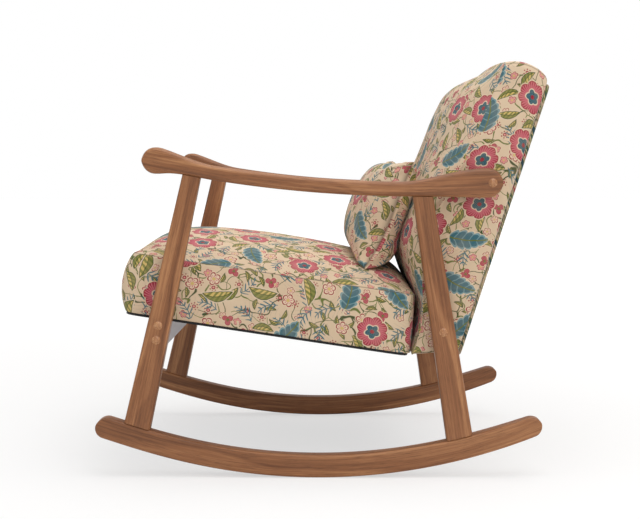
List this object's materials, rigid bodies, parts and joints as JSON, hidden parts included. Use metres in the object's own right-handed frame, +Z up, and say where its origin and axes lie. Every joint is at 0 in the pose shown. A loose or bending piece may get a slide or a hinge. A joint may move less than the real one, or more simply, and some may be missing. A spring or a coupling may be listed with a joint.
{
  "type": "rocking chair",
  "caption": "Upholstered armchair that rocks on curved wooden runners, with bowed bulb-ended armrests and a loose pillow.",
  "frame": {"origin": "on the floor, under the middle of the outline", "axes": "the chair faces -Y, +Z is up, and +X is at the left hand of a person sitting in it"},
  "size_m": [0.636, 0.8784, 0.8163],
  "materials": {
    "oiled_wood": "Satin brown hardwood with a fine grain",
    "wood_plug": "Satin brown hardwood, end grain",
    "frame_timber": "Bare softwood, hidden inside the upholstery",
    "plated_steel": "Zinc-plated steel",
    "pale_paint": "Pale lilac-grey satin paint",
    "printed_linen": "Cream linen with a woven floral of teal, green and rose",
    "foam": "Open-cell foam and fibre",
    "dark_webbing": "Dark woven webbing and felt",
    "dust_cloth": "Black non-woven cloth"
  },
  "bodies": {
    "chair": {"left_runner": "oiled_wood", "right_runner": "oiled_wood", "left_front_leg": "oiled_wood", "right_front_leg": "oiled_wood", "left_rear_leg": "oiled_wood", "right_rear_leg": "oiled_wood", "left_armrest": "oiled_wood", "right_armrest": "oiled_wood", "front_cross_rail": "pale_paint", "arm_dowels": "frame_timber", "runner_dowels": "frame_timber", "front_leg_bolts": "plated_steel", "rear_leg_bolts": "plated_steel", "arm_bolts": "plated_steel", "weld_nuts": "plated_steel", "insert_nuts": "plated_steel", "front_leg_plugs": "wood_plug", "rear_leg_plugs": "wood_plug", "arm_plugs": "wood_plug", "seat_front_rail": "frame_timber", "seat_rear_rail": "frame_timber", "seat_left_rail": "frame_timber", "seat_right_rail": "frame_timber", "seat_corner_blocks": "frame_timber", "seat_springs": "plated_steel", "spring_clips": "plated_steel", "seat_spring_pad": "dark_webbing", "seat_foam": "foam", "seat_cover": "printed_linen", "seat_dust_cover": "dust_cloth", "cross_rail_screws": "plated_steel", "seat_back_bolts": "plated_steel", "seat_back_nuts": "plated_steel", "back_left_stile": "frame_timber", "back_right_stile": "frame_timber", "back_top_rail": "frame_timber", "back_middle_rail": "frame_timber", "back_bottom_rail": "frame_timber", "back_webbing": "dark_webbing", "back_foam": "foam", "back_cover": "printed_linen", "back_rear_panel": "printed_linen", "back_piping": "printed_linen"},
    "pillow": {"pillow_front_panel": "printed_linen", "pillow_rear_panel": "printed_linen", "pillow_filling": "foam"}
  },
  "joints": [
    {"name": "pillow_lift", "type": "slide", "parent": "chair", "child": "pillow", "axis": [0, 0, 1], "range_m": [0, 0.35]}
  ]
}
